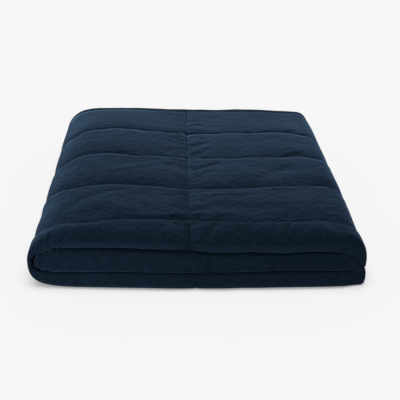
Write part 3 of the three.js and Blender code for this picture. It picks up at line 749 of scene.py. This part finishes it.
# The sheen weight follows the stored tone: more at the painted highlights, less at the hem band and the
# painted shade.
painted_light_mask = nodes.new("ShaderNodeAttribute")
painted_light_mask.attribute_name = "pile"
more_shine, usual_shine = 0.30, 0.22
shine = nodes.new("ShaderNodeMath")
shine.operation = "MULTIPLY_ADD"
shine.inputs[1].default_value = more_shine
shine.inputs[2].default_value = usual_shine
links.new(painted_light_mask.outputs["Fac"], shine.inputs[0])
links.new(shine.outputs["Value"], shader.inputs["Sheen Weight"])
rumple = nodes.new("ShaderNodeTexNoise")
rumple.inputs["Scale"].default_value = 80
rumple.inputs["Detail"].default_value = 5
links.new(place.outputs["Object"], rumple.inputs["Vector"])
pile = nodes.new("ShaderNodeTexNoise")
pile.inputs["Scale"].default_value = 900
pile.inputs["Detail"].default_value = 2
links.new(place.outputs["Object"], pile.inputs["Vector"])
rumple_bump = nodes.new("ShaderNodeBump")
rumple_bump.inputs["Strength"].default_value = 0.9
rumple_bump.inputs["Distance"].default_value = 0.003
links.new(rumple.outputs["Fac"], rumple_bump.inputs["Height"])
pile_bump = nodes.new("ShaderNodeBump")
pile_bump.inputs["Strength"].default_value = 0.5
pile_bump.inputs["Distance"].default_value = 0.0003
links.new(pile.outputs["Fac"], pile_bump.inputs["Height"])
links.new(rumple_bump.outputs["Normal"], pile_bump.inputs["Normal"])
links.new(pile_bump.outputs["Normal"], shader.inputs["Normal"])
mesh.materials.append(velvet)

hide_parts("bedspread")
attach(quilt, "root")

# The thread: navy polyester in one row of plain stitches along each channel line, cross seam and hem that
# shows on the top panel. It is drawn down into the velvet, so it lies at the bottom of the grooves.
stitch_pitch, stitch_length, stitch_width, stands_proud = 0.0050, 0.0040, 0.0009, 0.25
line_end = leg_start["wrap"] + 0.7 * leg_walk["wrap"][-1]
rows_along = [hem_row] + [line * channel for line in range(1, 5)]
places_along = spread(0.014, line_end, stitch_pitch)
stitches = [(along, across, True) for across in rows_along for along in places_along]
stitches += [(top_seam, across, False) for across in spread(0.020, nose_at + 0.008, stitch_pitch)]
one_stitch = bmesh.new()
sized = Matrix.Diagonal((stitch_length, stitch_width, stitch_width, 1))
bmesh.ops.create_uvsphere(one_stitch, u_segments=6, v_segments=4, radius=0.5, matrix=sized)
stitch_points = [vert.co.copy() for vert in one_stitch.verts]
stitch_faces = [[vert.index for vert in face.verts] for face in one_stitch.faces]
one_stitch.free()
thread_points, thread_faces = [], []
for along, across, runs_along in stitches:
    ring = station(along)
    middle = cloth_point(ring, across, 1)
    outwards = middle - cloth_point(ring, across, -1)
    before, after = station(along - 0.002), station(along + 0.002)
    lengthways = cloth_point(after, across, 1) - cloth_point(before, across, 1)
    sideways = cloth_point(ring, across + 0.004, 1) - cloth_point(ring, across - 0.004, 1)
    run, beside = (lengthways, sideways) if runs_along else (sideways, lengthways)
    up = run.cross(beside).normalized()
    up = -up if up.dot(outwards) < 0 else up
    run.normalize()
    turned = Matrix((run, up.cross(run), up)).transposed().to_4x4()
    laid = to_frame @ Matrix.Translation(middle + up * stitch_width * stands_proud) @ turned
    first = len(thread_points)
    thread_faces += [[first + i for i in face] for face in stitch_faces]
    thread_points += [laid @ point for point in stitch_points]
thread_data = bpy.data.meshes.new("thread")
thread_data.from_pydata(thread_points, [], thread_faces)
thread_data.shade_smooth()
thread = bpy.data.objects.new("thread", thread_data)
bpy.context.collection.objects.link(thread)

# Twisted thread, smoother than the pile and as dark as its ground
twist = bpy.data.materials.new("navy_thread")
twist.use_nodes = True
nodes, links = twist.node_tree.nodes, twist.node_tree.links
shader = nodes["Principled BSDF"]
shader.inputs["Roughness"].default_value = 0.8
shader.inputs["Specular IOR Level"].default_value = 0.01
place = nodes.new("ShaderNodeTexCoord")
plies = nodes.new("ShaderNodeTexWave")
plies.bands_direction = "DIAGONAL"
plies.inputs["Scale"].default_value = 420
plies.inputs["Distortion"].default_value = 1.5
links.new(place.outputs["Object"], plies.inputs["Vector"])
tones = nodes.new("ShaderNodeValToRGB")
tones.color_ramp.elements[0].color = (0.0016, 0.0038, 0.0076, 1)
tones.color_ramp.elements[1].color = (0.0036, 0.0084, 0.0164, 1)
links.new(plies.outputs["Fac"], tones.inputs["Fac"])
links.new(tones.outputs["Color"], shader.inputs["Base Color"])
ply_bump = nodes.new("ShaderNodeBump")
ply_bump.inputs["Strength"].default_value = 0.4
ply_bump.inputs["Distance"].default_value = 0.0002
links.new(plies.outputs["Fac"], ply_bump.inputs["Height"])
links.new(ply_bump.outputs["Normal"], shader.inputs["Normal"])
thread_data.materials.append(twist)

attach(thread, "root")

# The studio: a plain pale floor that runs up to a pale surround, with broad soft light from overhead.
floor_mesh = bmesh.new()
bmesh.ops.create_grid(floor_mesh, x_segments=1, y_segments=1, size=12)
floor_data = bpy.data.meshes.new("floor")
floor_mesh.to_mesh(floor_data)
floor_mesh.free()
floor = bpy.data.objects.new("floor", floor_data)
bpy.context.collection.objects.link(floor)
paper = bpy.data.materials.new("pale_paper")
paper.use_nodes = True
sheet = paper.node_tree.nodes["Principled BSDF"]
sheet.inputs["Base Color"].default_value = (0.35, 0.35, 0.35, 1)
sheet.inputs["Roughness"].default_value = 1.0
sheet.inputs["Specular IOR Level"].default_value = 0.0
sheet.inputs["Emission Color"].default_value = (1, 1, 1, 1)
sheet.inputs["Emission Strength"].default_value = 0.343
floor_data.materials.append(paper)

surround = bpy.data.worlds.new("pale_surround")
surround.use_nodes = True
surround.node_tree.nodes["Background"].inputs["Color"].default_value = (1, 1, 1, 1)
surround.node_tree.nodes["Background"].inputs["Strength"].default_value = 0.27
bpy.context.scene.world = surround

# The floor has its own high light, which leaves a narrow shadow along the front.
floor_only = bpy.data.collections.new("floor_only")
floor_only.objects.link(floor)
high = bpy.data.lights.new("high_light", "SUN")
high.energy = 4.5
high.angle = math.radians(50)
high_light = bpy.data.objects.new("high_light", high)
high_light.rotation_euler = (math.radians(12), 0, 0)
high_light.light_linking.receiver_collection = floor_only
bpy.context.collection.objects.link(high_light)

# Four panels light the cloth and not the floor: one overhead, one low behind, which rakes over the pile,
# and two in front.
cloth_only = bpy.data.collections.new("cloth_only")
cloth_only.objects.link(quilt)
cloth_only.objects.link(thread)
panels = (
    ("overhead_panel", (0.15, 0.7, 2.3), (3.0, 2.2), 16),
    ("back_panel", (0.0, 1.25, 0.68), (1.5, 0.5), 22),
    ("left_panel", (-0.72, -0.92, 0.20), (0.5, 0.3), 3.3),
    ("right_panel", (0.50, -0.55, 1.90), (0.7, 0.7), 9),
)
aim = Vector((0, 0, 0.1))
for name, location, (wide, tall), energy in panels:
    panel = bpy.data.lights.new(name, "AREA")
    panel.shape = "RECTANGLE"
    panel.size, panel.size_y = wide, tall
    panel.energy = energy
    panel_light = bpy.data.objects.new(name, panel)
    panel_light.location = location
    panel_light.rotation_euler = (aim - panel_light.location).to_track_quat("-Z", "Y").to_euler()
    panel_light.light_linking.receiver_collection = cloth_only
    bpy.context.collection.objects.link(panel_light)
bpy.context.scene.view_settings.view_transform = "Standard"

# The camera: a little above the front, looking down at the stack.
lens = bpy.data.cameras.new("camera")
lens.sensor_width = 36
lens.lens = 62.64
lens.shift_x = 0.0406
camera = bpy.data.objects.new("camera", lens)
camera.location = (-0.021, -1.4532, 0.820)
looks_down = 28.82
camera.rotation_euler = (math.radians(90 - looks_down), 0, 0)
bpy.context.collection.objects.link(camera)
bpy.context.scene.camera = camera
